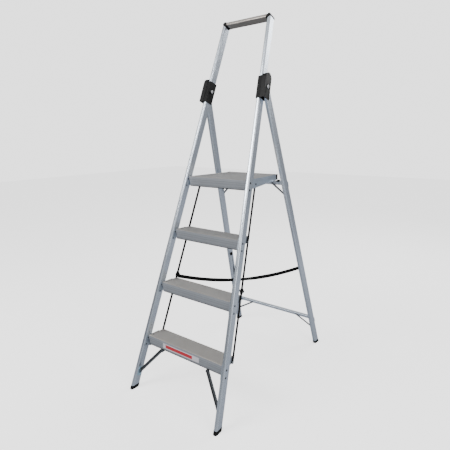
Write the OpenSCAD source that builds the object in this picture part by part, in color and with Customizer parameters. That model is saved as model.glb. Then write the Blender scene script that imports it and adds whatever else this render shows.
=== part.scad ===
// Folding aluminium platform step ladder: three treads, a deep standing platform and a handrail.
// Millimetres, +Z up, +Y to the rear. The origin is on the floor under the middle of the ladder.
// Front stiles run in one piece from the floor to the handrail. The platform and the treads pivot
// on the stiles and are tied together by two flat links, so they fold flat between the stiles,
// while the rear legs fold in beside them.

/* [Stance] */
// Height of the lowest tread's top
first_tread_z = 288.5; // [250:0.5:320]
// Height from one tread to the next
tread_pitch = 285; // [250:0.5:290]
// Height of the handrail's middle
handrail_z = 1959; // [1900:1:2000]
// Lean of the front stiles from upright, in degrees
stile_lean = 19.29; // [17:0.01:21]
// Lean of the rear legs from upright, in degrees
leg_lean = 17.24; // [16:0.01:19]
// Half distance between the front stiles' centres at the floor
stile_half_base = 292.9; // [280:0.1:310]
// How far each stile runs inwards per millimetre of its length
taper = 0.07277; // [0.06:0.00001:0.075]
// Height of the rear legs' hinge pins
hinge_z = 1600; // [1560:1:1620]

/* [Tubes] */
// Width of every leg tube
tube_w = 20; // [18:0.5:22]
// Depth of the front stiles
stile_d = 44.5; // [42:0.5:46]
// Depth of the rear legs
leg_d = 46; // [44:0.5:48]
// Corner radius of the tubes
tube_r = 6.5; // [4:0.5:8]
// Wall of the tubes
tube_wall = 1.8; // [1.4:0.1:2.4]
// Distance from a stile's centre out to the rear leg's centre
leg_out = 22; // [21.5:0.5:24]

/* [Treads and platform] */
// Depth of a tread
tread_d = 100.4; // [90:0.1:110]
// Depth of the platform
platform_d = 354.6; // [330:0.1:360]
// Height of the front fascia
fascia_h = 53; // [48:0.5:56]
// How far the front face stands ahead of the stile's middle
nose_ahead = 8.6; // [6:0.1:12]
// Thickness of the walking surface without its ribs
deck_t = 2.6; // [2:0.1:3]
// Height of the grip ribs
rib_h = 1.4; // [1:0.1:2]
// Distance from one grip rib to the next
rib_pitch = 6.2; // [5:0.1:8]

/* [Links and straps] */
// Width of a tie link
link_w = 14; // [10:0.5:14]
// Thickness of a tie link
link_t = 3; // [2:0.5:3]
// Width of the webbing straps
strap_w = 20; // [16:1:25]
// Thickness of the webbing straps
strap_t = 2; // [1.5:0.1:2.5]
// Sag of the lower strap at its middle
strap_sag = 50; // [40:1:60]

/* [Hidden] */
$fn = 48;

// Running clearances
gap = 0.05;
fit = 0.02;
// How far the stiles' and legs' centre lines lie from upright in the width direction
taper_a = atan(taper);
// Positions along the stile plane are measured from the floor up the stiles
function up_stile(z) = z / cos(stile_lean);
hinge_u = up_stile(hinge_z);
handrail_u = up_stile(handrail_z);
hinge_y = hinge_u * sin(stile_lean);
leg_len = hinge_z / cos(leg_lean);
leg_foot_y = hinge_y + hinge_z * tan(leg_lean);
// Boots on the leg ends, thin where a folded leg lies against its stile
boot_wall = 1.6;
boot_thin_wall = 0.8;
boot_h = 18;
sole = 8;
rear_boot_h = 15;
// Front and rear limits at the floor, and the shift that centres the ladder on the origin
front_y = -(stile_d / 2 + boot_wall) / cos(stile_lean);
rear_y = leg_foot_y + (leg_d / 2 + boot_wall) / cos(leg_lean);
y_shift = (front_y + rear_y) / 2;

// Layers inboard of a stile's centre line
stile_in = tube_w / 2;
plate_t = 2;
link_in = 15.3;
end_in = 21.5;
end_t = 2.2;
flange_in = stile_in + 2;
flange_t = 1.5;

// Tread pivot behind the stile's centre line at the tread top, and below the tread top
pivot_back = 1;
pivot_drop = 18;
// Link pivot from the tread pivot
link_back = 82.9;
link_drop = 12;
pin_r = 4;
platform_top = first_tread_z + 3 * tread_pitch;
tread_tops = [for (k = [0:2]) first_tread_z + k * tread_pitch];
flange_h = 50;
flange_h_rear = 30;

function stile_x(u) = stile_half_base - taper * u;
// Place along the stile plane of the pivot of a tread whose top is at z
function pivot_u(z) = up_stile(z) + pivot_back * sin(stile_lean) - pivot_drop * cos(stile_lean);
function pivot_y(z) = z * tan(stile_lean) + pivot_back;
pivot_behind = pivot_back * cos(stile_lean) + pivot_drop * sin(stile_lean);

// ---------- frames ----------
module ladder() { translate([0, -y_shift, 0]) children(); }
module stile_plane() { ladder() rotate([-stile_lean, 0, 0]) children(); }
// Along one stile: side is -1 for the left one and 1 for the right one
module along_stile(side) {
    stile_plane() translate([side * stile_half_base, 0, 0]) rotate([0, -side * taper_a, 0]) children();
}
// The plane of the rear legs, with its origin at the hinge pins
module leg_plane() { ladder() translate([0, hinge_y, hinge_z]) rotate([leg_lean, 0, 0]) children(); }
module along_leg(side) {
    leg_plane() translate([side * (stile_x(hinge_u) + leg_out), 0, 0])
        rotate([0, -side * taper_a, 0]) children();
}
// A tread's pivot, level with the world
module tread_frame(z) { ladder() translate([0, pivot_y(z), z - pivot_drop]) children(); }
module both() { for (side = [-1, 1]) let ($side = side) children(); }

// ---------- shapes ----------
module rounded(w, d, r) {
    square([w - 2 * r, d], center = true);
    square([w, d - 2 * r], center = true);
    for (x = [-1, 1], y = [-1, 1]) translate([x * (w / 2 - r), y * (d / 2 - r)]) circle(r);
}
module tube_2d(w, d) {
    difference() {
        rounded(w, d, tube_r);
        rounded(w - 2 * tube_wall, d - 2 * tube_wall, tube_r - tube_wall);
    }
}
// A rod along X from x1 to x2
module rod_x(x1, x2, r) {
    translate([min(x1, x2), 0, 0]) rotate([0, 90, 0]) cylinder(r = r, h = abs(x2 - x1));
}
// A plate in the depth-and-height plane, between x1 and x2
module plate_x(x1, x2) {
    translate([min(x1, x2), 0, 0]) rotate([90, 0, 90]) linear_extrude(abs(x2 - x1)) children();
}

// ---------- front stiles ----------
stile_end = handrail_u + 20;
rivet_ahead = 4.7;
rivet_r = 3;
rivet_drops = [16, 50];
rivet_tops = concat(tread_tops, [platform_top]);

module rivet_places() {
    for (z = rivet_tops, d = rivet_drops)
        translate([0, -rivet_ahead, up_stile(z - d) / cos(taper_a)]) children();
}
module pivot_places(side) {
    for (z = rivet_tops) translate([side * stile_x(pivot_u(z)), pivot_behind, pivot_u(z)]) children();
}
module stile(side) {
    color("lightsteelblue") difference() {
        intersection() {
            along_stile(side) translate([0, 0, -20])
                linear_extrude(stile_end + 20) tube_2d(tube_w, stile_d);
            at_corner(side) corner_slab(100) below_stile_cut();
            ladder() translate([-500, -200, sole + 0.5]) cube([1000, 1400, 2500]);
        }
        stile_plane() {
            translate([side * stile_x(hinge_u), 0, hinge_u]) rod_x(-30, 30, hinge_pin_r + fit);
            pivot_places(side) rod_x(-side * 18, 0, pin_r + gap);
        }
        along_stile(side) rivet_places() rod_x(-20, 20, rivet_r + fit);
    }
}
// thin_side is the direction of the thin wall
module solid_boot(d, h, thin_side) {
    translate([-thin_side * (boot_wall - boot_thin_wall) / 2, 0]) linear_extrude(3 * h, center = true)
        rounded(tube_w + boot_wall + boot_thin_wall, d + 2 * boot_wall, tube_r + 2);
}
module front_foot(side) {
    color("black") difference() {
        intersection() {
            along_stile(side) solid_boot(stile_d, boot_h, side);
            ladder() translate([-500, -200, 0]) cube([1000, 1400, boot_h]);
        }
        intersection() {
            along_stile(side) linear_extrude(200, center = true)
                rounded(tube_w + 0.3, stile_d + 0.3, tube_r);
            ladder() translate([-500, -200, sole]) cube([1000, 1400, boot_h]);
        }
    }
}

// ---------- handrail ----------
// The handrail is the stiles' own tube laid flat. Stile and handrail are both cut on a slant, and a
// moulded corner fills the wedge between the cuts. Places in the corner are measured inwards from the
// stile's centre line and upwards from the handrail's centre line.
corner_stile_cut = [[12, -2.5], [-12, -18.5]];
corner_bar_cut = [[-7.5, 11.5], [-19.5, -11.5]];
corner_round = 10;
corner_reach = 11;
plug_len = 30;
module at_corner(side) {
    stile_plane() translate([side * stile_x(handrail_u), 0, handrail_u])
        mirror([side < 0 ? 1 : 0, 0, 0]) children();
}
module corner_slab(d) { rotate([90, 0, 0]) linear_extrude(d, center = true) children(); }
// Everything on the stile's side of its cut, or on the handrail's side of its own
module below_stile_cut() {
    polygon([corner_stile_cut[0], corner_stile_cut[1], [-40, -2200], [240, -2200]]);
}
module beyond_bar_cut() { polygon([corner_bar_cut[0], corner_bar_cut[1], [-400, -40], [-400, 40]]); }
module bar_2d(less) {
    difference() {
        rounded(tube_w - less, stile_d - less, tube_r - less / 2);
        if (less == 0) rounded(tube_w - 2 * tube_wall, stile_d - 2 * tube_wall, tube_r - tube_wall);
    }
}
module handrail_bar() {
    color("rosybrown") intersection() {
        stile_plane() translate([0, 0, handrail_u]) rotate([0, 90, 0])
            linear_extrude(400, center = true) bar_2d(0);
        intersection_for(side = [-1, 1]) at_corner(side) corner_slab(100) beyond_bar_cut();
    }
}
module left_elbow() {
    inner = 2 * tube_wall + 0.3;
    plug_u = handrail_u - 16 - plug_len;
    color("black") {
        // the wedge that shows, with its rounded outer corner
        intersection() {
            union() {
                along_stile(-1) translate([0, 0, handrail_u - 60]) linear_extrude(100) bar_2d(-0.6);
                at_corner(-1) translate([-60, 0, 0]) rotate([0, 90, 0]) linear_extrude(100) bar_2d(-0.6);
            }
            at_corner(-1) corner_slab(80) difference() {
                union() {
                    translate([1, 1] * (corner_reach - corner_round)) circle(corner_round);
                    translate([-60, -60]) square([60 + corner_reach, 60 + corner_reach - corner_round]);
                    translate([-60, -60]) square([60 + corner_reach - corner_round, 60 + corner_reach]);
                }
                below_stile_cut();
                beyond_bar_cut();
            }
        }
        // plugs inside the two tubes
        intersection() {
            along_stile(-1) translate([0, 0, plug_u]) linear_extrude(plug_len + 40) bar_2d(inner);
            at_corner(-1) corner_slab(80) translate([0, 0.8]) below_stile_cut();
        }
        intersection() {
            at_corner(-1) translate([-plug_len - 14, 0, 0]) rotate([0, 90, 0])
                linear_extrude(plug_len + 8) bar_2d(inner);
            at_corner(-1) corner_slab(80) translate([0.8, 0]) beyond_bar_cut();
        }
    }
}
module elbow(side) { mirror([side > 0 ? 1 : 0, 0, 0]) left_elbow(); }

// ---------- rear leg hinges ----------
hinge_pin_r = 5;
hinge_wall = 3;
hinge_round = leg_d / 2 + 1 + hinge_wall;
// Height of the housing's rounded top above the pin
hinge_rise = 44;
module hinge_bracket(side) {
    out = leg_out + tube_w / 2 + 1.6;
    web = tube_w / 2 + 0.3;
    color("dimgray") difference() {
        along_stile(side) translate([0, 0, hinge_u / cos(taper_a)]) union() {
            // sleeve round the stile
            translate([side > 0 ? -tube_w / 2 - hinge_wall : tube_w / 2 + hinge_wall - 24, 0, -64])
                translate([0, -stile_d / 2 - hinge_wall, 0]) cube([24, stile_d + 2 * hinge_wall, 116]);
            // housing over the rear leg's head
            plate_x(side * web, side * (out + hinge_wall)) union() {
                translate([0, hinge_rise]) circle(hinge_round, $fn = 96);
                translate([-hinge_round, -64]) square([2 * hinge_round, 64 + hinge_rise]);
            }
        }
        along_stile(side) translate([0, 0, hinge_u - 200]) linear_extrude(400)
            rounded(tube_w + 0.3, stile_d + 0.3, tube_r);
        // room for the leg, open to the rear and downwards
        along_stile(side) translate([0, 0, hinge_u / cos(taper_a)])
            plate_x(side * (leg_out - tube_w / 2 - 0.6), side * out) union() {
                circle(leg_d / 2 + 0.7, $fn = 96);
                translate([-leg_d / 2 - 0.7, -100]) square([leg_d / 2 + 0.7, 100]);
                translate([0, -100]) square([60, 100 + leg_d / 2 + 0.7]);
            }
        intersection() {
            along_leg(side) translate([0, 0, -90])
                linear_extrude(130) rounded(tube_w + 0.4, leg_d + 1.4, tube_r);
            leg_plane() union() {
                rod_x(-400, 400, leg_d / 2 + 0.7);
                translate([-400, -leg_d, -90]) cube([800, 2 * leg_d, 90]);
            }
        }
        stile_plane() translate([side * stile_x(hinge_u), 0, hinge_u]) rod_x(-60, 60, hinge_pin_r + fit);
    }
}
module hinge_pins() {
    color("silver") stile_plane() both() {
        x = $side * stile_x(hinge_u);
        translate([x, 0, hinge_u]) {
            rod_x(-$side * 16, $side * 39, hinge_pin_r);
            rod_x(-$side * 15.4, -$side * 17.9, 9);
            rod_x($side * 38, $side * 40.5, 9);
        }
    }
}

// ---------- fixed tread brackets and rivets ----------
bracket_back = 42;
rod_u = up_stile(first_tread_z) - 54.1;
rod_behind = 32.5;
rod_r = 6;
// Depth behind the stile's middle across, length along the stile up from the pivot
module bracket_2d(low) {
    front = -stile_d / 2 + 4;
    polygon(concat(
        low ? [[front, -48], [36, -48], [bracket_back, -42]] : [[front, -44], [6, -44], [bracket_back, -6]],
        [[bracket_back, 8], [12, 24], [front, 24]]
    ));
}
module tread_brackets(side) {
    color("slategray") for (k = [0:2]) difference() {
        along_stile(side) translate([0, 0, pivot_u(tread_tops[k]) / cos(taper_a)])
            plate_x(-side * (stile_in + 0.02), -side * (stile_in + plate_t)) bracket_2d(k == 0);
        along_stile(side) rivet_places() rod_x(-20, 20, rivet_r + fit);
        stile_plane() {
            pivot_places(side) rod_x(-side * 18, 0, pin_r + gap);
            if (k == 0) translate([0, rod_behind, rod_u]) rod_x(-400, 400, rod_r + fit);
        }
    }
}
module stile_rivets() {
    head = 1.6;
    color("dimgray") both() along_stile($side) for (z = rivet_tops, d = rivet_drops)
        translate([0, -rivet_ahead, up_stile(z - d) / cos(taper_a)]) {
            rod_x($side * stile_in, $side * (stile_in + head), 4.6);
            rod_x($side * stile_in, -$side * (z == platform_top ? stile_in : stile_in + plate_t), rivet_r);
            if (z != platform_top)
                rod_x(-$side * (stile_in + plate_t), -$side * (stile_in + plate_t + 1.2), 4.4);
        }
}

// ---------- front braces ----------
brace_low_u = 99.6;
brace_top_u = up_stile(first_tread_z) - 55.6;
brace_top_x = 157;
brace_w = 15;
module brace_cross_rod() {
    x = stile_x(rod_u) - stile_in - 1;
    color("silver") stile_plane() translate([0, rod_behind, rod_u]) rod_x(-x, x, rod_r);
}
// A folded channel from the stile's foot up to the cross rod behind the lowest tread's fascia
module front_brace(side) {
    x1 = stile_x(brace_low_u) - stile_in - plate_t - 1;
    run = x1 - brace_top_x;
    rise = brace_top_u - brace_low_u;
    turn = atan2(run, rise);
    behind = atan2(14, norm([run, rise]));
    color("dimgray") difference() {
        union() {
            stile_plane() intersection() {
                translate([side * x1, 0, brace_low_u]) rotate([0, -side * turn, 0]) rotate([-behind, 0, 0])
                    translate([0, 0, -30]) linear_extrude(norm([run, rise]) + 60) difference() {
                        square([brace_w, 10], center = true);
                        translate([0, -2]) square([brace_w - 4, 10], center = true);
                    }
                translate([side > 0 ? brace_top_x - 2 : -x1, -60, brace_low_u - 14])
                    cube([x1 - brace_top_x + 2, 120, rise + 14]);
            }
            // tab that carries the cross rod
            stile_plane() translate([side * (brace_top_x - 2.5), 0, 0]) plate_x(-1.5, 1.5) hull() {
                translate([rod_behind, rod_u]) circle(8, $fn = 32);
                translate([14, brace_top_u - 9]) circle(6, $fn = 32);
            }
        }
        stile_plane() translate([0, rod_behind, rod_u]) rod_x(-200, 200, rod_r + fit);
    }
}
module front_brace_plates() {
    color("steelblue") both() along_stile($side) {
        translate([0, 0, brace_low_u - 2])
            plate_x(-$side * (stile_in + 0.02), -$side * (stile_in + plate_t))
            polygon([[-15, -24], [15, -24], [15, 12], [6, 24], [-6, 24], [-15, 12]]);
        translate([0, 2, brace_low_u - 20])
            rod_x(-$side * (stile_in + plate_t), -$side * (stile_in + plate_t + 2), 4.5);
    }
}

// ---------- treads and platform ----------
// Cross-section of a walking surface: depth across, height up, top of the ribs at height 0
module deck_2d(depth, back_h) {
    difference() {
        union() {
            translate([0, -rib_h - deck_t]) square([depth, deck_t]);
            for (i = [0 : floor((depth - 12) / rib_pitch)]) translate([7 + i * rib_pitch, -rib_h - 0.1])
                square([rib_pitch * 0.5, rib_h + 0.1]);
            // rounded nose and fascia
            translate([5, -5]) circle(5);
            translate([0, -fascia_h]) square([2.5, fascia_h - 5]);
            translate([0, -fascia_h]) square([9, 2.5]);
            // rear edge
            translate([depth - 2.5, -back_h]) square([2.5, back_h - 1]);
        }
        translate([5, -9]) circle(2.4);
    }
}
// Cuts both ends so that they lie at_in inboard of the stiles when folded up between them
module between_ends(z, at_in, depth) {
    half = stile_x(pivot_u(z)) - at_in;
    front = -nose_ahead - pivot_back - 5;
    intersection() {
        children();
        translate([0, 0, -80]) linear_extrude(160) polygon([
            [-half + taper * front, front], [half - taper * front, front],
            [half - taper * (depth + 20), depth + 20], [-half + taper * (depth + 20), depth + 20]
        ]);
    }
}
screw_r = 2.5;
screw_head_r = 4.4;
module screw_hole() {
    cylinder(r = screw_r + fit, h = 40);
    translate([0, 0, pivot_drop - 0.45]) cylinder(r = screw_head_r + 0.2, h = 5);
}
module screw() {
    translate([0, 0, 5]) cylinder(r = screw_r, h = pivot_drop - 5 - 0.4);
    translate([0, 0, pivot_drop - 0.4]) cylinder(r = screw_head_r, h = 1.2);
}
module tread(z) {
    front = -nose_ahead - pivot_back;
    color("darkgray") tread_frame(z) difference() {
        between_ends(z, stile_in + plate_t + 2.2, tread_d) translate([-400, front, pivot_drop])
            rotate([90, 0, 90]) linear_extrude(800) deck_2d(tread_d, 22);
        // room at both ends for the tie links, at the rear edge at rest and along the fascia when folded
        both() {
            half = stile_x(pivot_u(z)) - end_in + 0.4;
            // the stile's taper carried along the tread's depth
            translate([$side * half, 0, 0]) rotate([0, 0, $side * taper_a]) {
                translate([$side > 0 ? 0 : -20, tread_d - 37, -50]) cube([20, 60, 80]);
                translate([$side > 0 ? 0 : -20, front - 5, -80]) cube([20, tread_d, 80 + pivot_drop - 25]);
            }
            // hole for the screw down into the end plate's foot
            translate([$side * (half - 7.8), 14, 0]) screw_hole();
        }
    }
}
module tread_end(z, side) {
    half = stile_x(pivot_u(z)) - end_in;
    under = pivot_drop - rib_h - deck_t - 0.1;
    color("lightgray") tread_frame(z) difference() {
        translate([side * half, 0, 0]) rotate([0, 0, side * taper_a]) union() {
            plate_x(0, -side * end_t) polygon([
                [6, under], [6, 7], [-5, 7], [-5, -30], [8, -30], [16, -13],
                [link_back - 8, -link_drop - 8],
                [tread_d - 12, -link_drop - 6], [tread_d - 12, -6], [tread_d - 12, under]
            ]);
            // foot under the deck
            translate([side > 0 ? -16 : 0, 4, under - 2.2]) cube([16, 60, 2.2]);
        }
        rod_x(-400, 400, pin_r + fit);
        translate([0, link_back, -link_drop]) rod_x(-400, 400, pin_r + fit);
        translate([side * (half - 7.4), 14, 0]) screw_hole();
    }
}
module tread_pins(z) {
    x = stile_x(pivot_u(z));
    xl = x - taper * link_back;
    inside = end_in + end_t + 0.6;
    color("silver") tread_frame(z) both() {
        // pivot pin: turns in the stile and its bracket, fixed in the end plate
        rod_x($side * (x - stile_in + tube_wall + 1), $side * (x - inside), pin_r);
        rod_x($side * (x - stile_in - plate_t - 0.6), $side * (x - end_in + 0.5), 4.6);
        rod_x($side * (x - inside), $side * (x - inside - 2.2), 6.5);
        // link pin
        translate([0, link_back, -link_drop]) {
            rod_x($side * (xl - link_in + 0.7), $side * (xl - inside), pin_r);
            rod_x($side * (xl - link_in + 2), $side * (xl - link_in + 0.7), 5.5);
            rod_x($side * (xl - link_in - link_t - 0.6), $side * (xl - end_in + 0.5), 5.5);
            rod_x($side * (xl - inside), $side * (xl - inside - 2.2), 6.5);
        }
    }
}
module tread_screws(z) {
    half = stile_x(pivot_u(z)) - end_in;
    color("dimgray") tread_frame(z) both() translate([$side * (half - 7.4), 14, 0]) screw();
}
module label_plate() {
    z = first_tread_z;
    color("whitesmoke") ladder() translate([-145, z * tan(stile_lean) - nose_ahead - 0.62, z - 40.5])
        cube([252, 0.6, 28]);
}
module platform_deck() {
    z = platform_top;
    front = -nose_ahead - pivot_back;
    color("darkgray") tread_frame(z) difference() {
        between_ends(z, flange_in + flange_t + 0.1, platform_d) translate([-400, front, pivot_drop])
            rotate([90, 0, 90]) linear_extrude(800) deck_2d(platform_d - 6, 20);
        both() {
            half = stile_x(pivot_u(z)) - end_in + 0.6;
            translate([$side * half, 0, 0]) rotate([0, 0, $side * taper_a])
                translate([$side > 0 ? 0 : -20, front - 5, -80])
                    cube([20, tread_d + 60, 80 + pivot_drop - 25]);
            for (y = [14, platform_d - 40]) translate([$side * (half - taper * y - 2), y, 0]) screw_hole();
        }
    }
}
module platform_flange(side) {
    z = platform_top;
    x = stile_x(pivot_u(z));
    top = pivot_drop - rib_h - 0.1;
    end = platform_d - nose_ahead - pivot_back - 6.2;
    color("lightsteelblue") tread_frame(z) difference() {
        translate([side * (x - flange_in), 0, 0]) rotate([0, 0, side * taper_a]) union() {
            plate_x(0, -side * flange_t) polygon([
                [-6, top + 1], [-6, pivot_drop - flange_h], [60, pivot_drop - flange_h],
                [end, pivot_drop - flange_h_rear], [end, top + 1]
            ]);
            // ledge that carries the deck
            translate([side > 0 ? -16 : 0, 4, top - deck_t - 2.4]) cube([16, end - 14, 2.2]);
        }
        rod_x(-400, 400, pin_r + fit);
        translate([0, link_back, -link_drop]) rod_x(-400, 400, pin_r + fit);
        for (y = [14, platform_d - 40])
            translate([side * (x - end_in + 0.6 - taper * y - 2), y, 0]) screw_hole();
    }
}
module platform_rear_edge() {
    z = platform_top;
    y = platform_d - nose_ahead - pivot_back - 6;
    half = stile_x(pivot_u(z)) - flange_in - taper * y;
    color("dimgray") tread_frame(z) translate([-half, y, pivot_drop]) rotate([90, 0, 90])
        linear_extrude(2 * half) union() {
            translate([0.05, -26]) square([2.4, 26]);
            translate([0.05, -26]) square([6, 2]);
            translate([0.05, -2.4]) square([6, 2.4]);
        }
}
module platform_pins() {
    x = stile_x(pivot_u(platform_top));
    xl = x - taper * link_back;
    color("dimgray") tread_frame(platform_top) both() {
        rod_x($side * (x - stile_in + tube_wall + 1), $side * (x - flange_in - flange_t - 0.6), pin_r);
        rod_x($side * (x - flange_in - flange_t - 0.6), $side * (x - flange_in - flange_t - 1.6), 4.8);
        translate([0, link_back, -link_drop]) {
            rod_x($side * (xl - flange_in + 0.1), $side * (xl - link_in - link_t - 0.6), pin_r);
            rod_x($side * (xl - flange_in - flange_t - 0.45), $side * (xl - link_in + 0.5), 5);
            rod_x($side * (xl - link_in - link_t - 0.6), $side * (xl - link_in - link_t - 2.6), 6);
        }
    }
}
module platform_screws() {
    half = stile_x(pivot_u(platform_top)) - end_in + 0.6;
    color("dimgray") tread_frame(platform_top) both()
        for (y = [14, platform_d - 40]) translate([$side * (half - taper * y - 2), y, 0]) screw();
}

// ---------- tie links ----------
link_u0 = pivot_u(first_tread_z) + link_back * sin(stile_lean) - link_drop * cos(stile_lean);
link_behind = pivot_behind + link_back * cos(stile_lean) + link_drop * sin(stile_lean);
link_run = up_stile(3 * tread_pitch);
// The outer face of a link at its lowest pivot
link_x0 = stile_x(pivot_u(first_tread_z)) - taper * link_back - link_in;
module along_link(side) {
    stile_plane() translate([side * link_x0, link_behind, link_u0])
        rotate([0, -side * taper_a, 0]) children();
}
module tie_link(side) {
    color("black") difference() {
        along_link(side) plate_x(0, -side * link_t) {
            translate([-link_w / 2, 0]) square([link_w, link_run]);
            for (k = [0:3]) translate([0, k * link_run / 3]) circle(link_w / 2 + 1.5);
        }
        for (z = rivet_tops) tread_frame(z) translate([0, link_back, -link_drop])
            rod_x(-400, 400, pin_r + gap);
    }
}

// ---------- rear legs ----------
module leg(side) {
    color("lightsteelblue") difference() {
        intersection() {
            along_leg(side) translate([0, 0, -leg_len - 20])
                linear_extrude(leg_len + 60) tube_2d(tube_w, leg_d);
            leg_plane() union() {
                rod_x(-400, 400, leg_d / 2);
                translate([-400, -leg_d, -leg_len - 50]) cube([800, 2 * leg_d, leg_len + 50]);
            }
            ladder() translate([-500, -200, sole + 0.5]) cube([1000, 1400, 2500]);
        }
        leg_plane() rod_x(-400, 400, hinge_pin_r + gap);
    }
}
module rear_foot(side) {
    color("black") difference() {
        intersection() {
            along_leg(side) translate([0, 0, -leg_len]) solid_boot(leg_d, boot_h, -side);
            ladder() translate([-500, -200, 0]) cube([1000, 1400, rear_boot_h]);
        }
        intersection() {
            along_leg(side) translate([0, 0, -leg_len]) linear_extrude(200, center = true)
                rounded(tube_w + 0.3, leg_d + 0.3, tube_r);
            ladder() translate([-500, -200, sole]) cube([1000, 1400, boot_h]);
        }
    }
}

// ---------- rear crossbars and braces ----------
// Distances down the legs from the hinge pins
upper_v = 540.7;
lower_v = 1504;
bar_front = leg_d / 2 + 3.2;
crossbar_d = 18;
crossbar_h = 20;
function leg_x(v) = stile_x(hinge_u) + leg_out + taper * v;
module crossbar(v) {
    half = leg_x(v) - tube_w / 2 - 2;
    color("lightsteelblue") leg_plane() translate([0, bar_front + crossbar_d / 2, -v]) rotate([0, 90, 0])
        linear_extrude(2 * half, center = true) difference() {
            rounded(crossbar_h, crossbar_d, 3);
            rounded(crossbar_h - 3, crossbar_d - 3, 1.5);
        }
}
gusset_t = 3;
module crossbar_gussets() {
    color("gray") leg_plane() both() for (v = [upper_v, lower_v])
        translate([$side * leg_x(v), leg_d / 2 + 0.05, -v]) rotate([-90, 0, 0]) linear_extrude(gusset_t)
            mirror([$side < 0 ? 1 : 0, 0]) polygon([
                [-34, -9], [-14, -9], [-9, -16], [8, -16], [9, 16], [-9, 16], [-14, 9], [-34, 9]
            ]);
}
// A flat bar from the crossbar at v, x_in from the middle, down to the leg at v_low
module rear_brace(side, place) {
    v = place[0];
    x_in = place[1];
    v_low = place[2];
    x_low = leg_x(v_low) - 2;
    run = x_low - x_in;
    drop = v_low - v;
    color("dimgray") leg_plane() translate([side * x_in, leg_d / 2 + 0.05, -v])
        rotate([-90, 0, 0]) linear_extrude(gusset_t) hull() {
            circle(5.5);
            translate([side * run, drop]) circle(5.5);
        }
}
upper_brace = [upper_v, 135, 632];
lower_brace = [lower_v, 176, 1590];
module rear_rivets() {
    back = bar_front + crossbar_d;
    color("silver") leg_plane() both() {
        for (v = [upper_v, lower_v]) {
            translate([$side * leg_x(v), leg_d / 2 + 0.08 + gusset_t, -v])
                rotate([-90, 0, 0]) cylinder(r = 4, h = 1.6);
            translate([$side * (leg_x(v) - 22), back + 0.02, -v])
                rotate([-90, 0, 0]) cylinder(r = 4, h = 1.6);
        }
        for (b = [upper_brace, lower_brace])
            translate([$side * (leg_x(b[2]) - 2), leg_d / 2 + 0.08 + gusset_t, -b[2]]) rotate([-90, 0, 0])
                cylinder(r = 4, h = 1.6);
    }
}
// Blocks on the upper crossbar that the platform's sides come to rest on
module platform_rests() {
    y = platform_d - nose_ahead - pivot_back - 6;
    x = stile_x(pivot_u(platform_top)) - flange_in - taper * y;
    color("black") leg_plane() both()
        translate([$side * (x + 1.5) - 8, bar_front + 1.5, -upper_v + crossbar_h / 2 + 0.02])
            cube([16, 15, 6.4]);
}

// ---------- straps ----------
// Each strap runs from the inner side of one rear leg to a loop round the tie link on the other side
strap_leg_v = 1086;
anchor_t = 1.5;
anchor_x = leg_x(strap_leg_v) - tube_w / 2 - anchor_t - 0.6;
anchor_y = hinge_y + strap_leg_v * sin(leg_lean);
anchor_z = hinge_z - strap_leg_v * cos(leg_lean);
// The loop's middle, measured up its link from the lowest pivot
loop_up = link_run / 3 + 50;
loop_h = 28;
loop_t = 2;
loop_x = link_x0 - taper * loop_up - link_t - loop_t;
loop_y = (link_u0 + loop_up) * sin(stile_lean) + link_behind * cos(stile_lean);
loop_z = (link_u0 + loop_up) * cos(stile_lean) - link_behind * sin(stile_lean);
module strap_anchors() {
    color("black") both() along_leg($side) translate([0, 0, -strap_leg_v / cos(taper_a)])
        plate_x(-$side * (tube_w / 2 + 0.05), -$side * (tube_w / 2 + anchor_t)) rounded(24, 22, 3);
}
module strap_loop(side) {
    color("black") along_link(side) translate([-side * link_t / 2, 0, loop_up])
        linear_extrude(loop_h, center = true) difference() {
            square([link_t + 2 * loop_t, link_w + 6], center = true);
            square([link_t + 0.6, link_w + 0.6], center = true);
        }
}
function sag_at(t, sag) = -4 * sag * t * (1 - t);
// from_side is the side of the rear leg that the strap starts from
module strap(from_side, sag) {
    start = [anchor_x, anchor_y, anchor_z];
    end = [-loop_x, loop_y, loop_z - 10];
    flat = norm([end.x - start.x, end.y - start.y]);
    turn = atan2(end.y - start.y, end.x - start.x);
    steps = 16;
    line = [for (i = [-1 : steps + 1]) let (t = i / steps)
        [t * flat, t * (end.z - start.z) + sag_at(t, sag)]];
    color("black") ladder() mirror([from_side < 0 ? 1 : 0, 0, 0]) intersection() {
        translate([0.8 - loop_x, 0, 0]) cube([anchor_x + loop_x - 0.8, 1100, 900]);
        translate(start) rotate([0, 0, turn]) rotate([90, 0, 0]) linear_extrude(strap_w, center = true)
            polygon(concat(
                [for (p = line) p + [0, strap_t / 2]],
                [for (i = [len(line) - 1 : -1 : 0]) line[i] - [0, strap_t / 2]]
            ));
    }
}

stile(-1);  // left_stile
stile(1);  // right_stile
front_foot(-1);  // left_front_foot
front_foot(1);  // right_front_foot
handrail_bar();
elbow(-1);  // left_corner_elbow
elbow(1);  // right_corner_elbow
hinge_bracket(-1);  // left_hinge_bracket
hinge_bracket(1);  // right_hinge_bracket
hinge_pins();
tread_brackets(-1);  // left_tread_brackets
tread_brackets(1);  // right_tread_brackets
stile_rivets();
brace_cross_rod();
front_brace(-1);  // left_front_brace
front_brace(1);  // right_front_brace
front_brace_plates();
platform_deck();
platform_flange(-1);  // left_platform_flange
platform_flange(1);  // right_platform_flange
platform_rear_edge();
platform_pins();
platform_screws();
tread(tread_tops[0]);  // lower_tread
tread_end(tread_tops[0], -1);  // lower_tread_left_end
tread_end(tread_tops[0], 1);  // lower_tread_right_end
tread_pins(tread_tops[0]);  // lower_tread_pins
tread_screws(tread_tops[0]);  // lower_tread_screws
label_plate();  // lower_tread_label
tread(tread_tops[1]);  // middle_tread
tread_end(tread_tops[1], -1);  // middle_tread_left_end
tread_end(tread_tops[1], 1);  // middle_tread_right_end
tread_pins(tread_tops[1]);  // middle_tread_pins
tread_screws(tread_tops[1]);  // middle_tread_screws
tread(tread_tops[2]);  // upper_tread
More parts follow.
